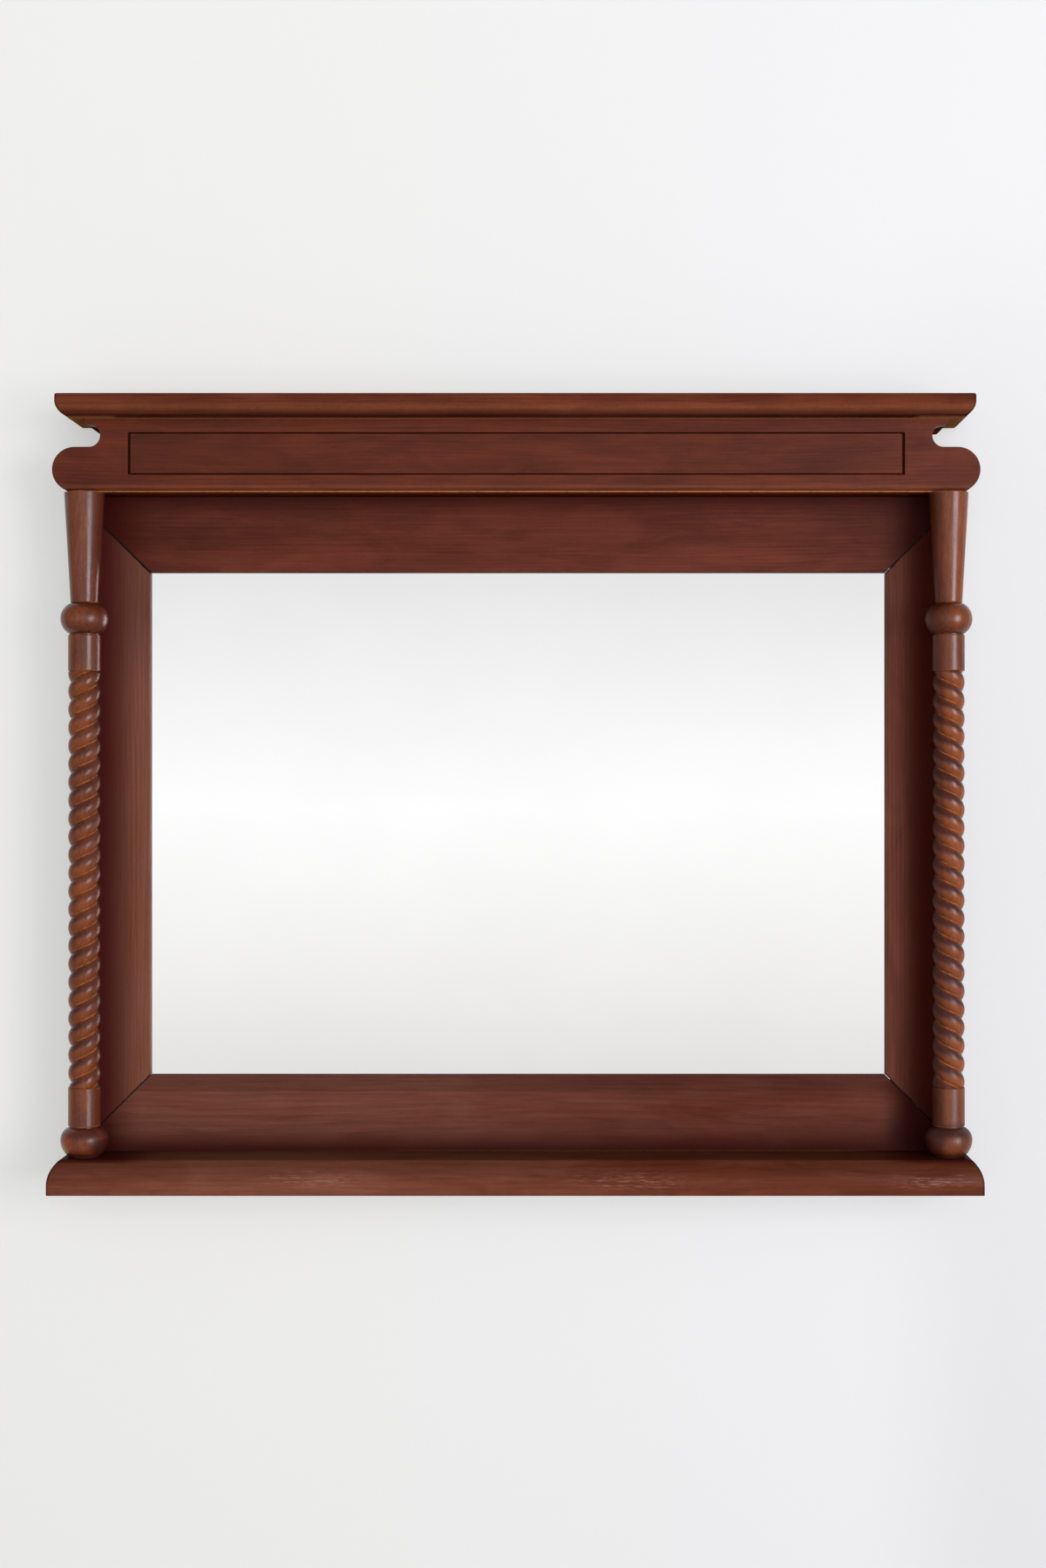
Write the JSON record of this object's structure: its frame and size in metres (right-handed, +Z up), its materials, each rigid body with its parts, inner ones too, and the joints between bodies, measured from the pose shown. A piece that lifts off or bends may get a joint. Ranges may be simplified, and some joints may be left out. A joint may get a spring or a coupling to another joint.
{
  "type": "overmantel mirror",
  "caption": "Wide rectangular mirror in a sloping mitred wooden frame, standing on a moulded shelf, with rope-twist columns in front that carry a scroll-ended header and a cornice.",
  "frame": {"origin": "centre of the object's footprint on the underside of the shelf", "axes": "+Z up, front with the mirror faces -Y, back lies against the wall at +Y, +X to the right seen from the front"},
  "size_m": [1.101, 0.111, 0.941],
  "materials": {
    "stained_wood": "satin varnish over dark mahogany stain",
    "turned_wood": "semi-gloss varnish over dark mahogany stain",
    "bare_wood": "sawn and planed, unfinished",
    "hardboard": "matt hardboard",
    "mirror": "polished silvered glass",
    "steel": "zinc-plated steel"
  },
  "bodies": {
    "root": {"shelf": "stained_wood", "frame_bottom_rail": "stained_wood", "frame_top_rail": "stained_wood", "frame_left_stile": "stained_wood", "frame_right_stile": "stained_wood", "mitre_splines": "bare_wood", "mirror_glass": "mirror", "mirror_blocks": "bare_wood", "back_board": "hardboard", "back_board_screws": "steel", "column_left": "turned_wood", "column_right": "turned_wood", "header_block_left": "stained_wood", "header_block_right": "stained_wood", "soffit_board": "stained_wood", "header_back_rail": "bare_wood", "frieze_board": "stained_wood", "frieze_panel": "stained_wood", "glue_blocks": "bare_wood", "cornice": "stained_wood", "cornice_dowels": "bare_wood", "header_screws": "steel", "shelf_screws": "steel", "hanger_plate_left": "steel", "hanger_plate_right": "steel", "hanger_screws": "steel"}
  },
  "joints": []
}
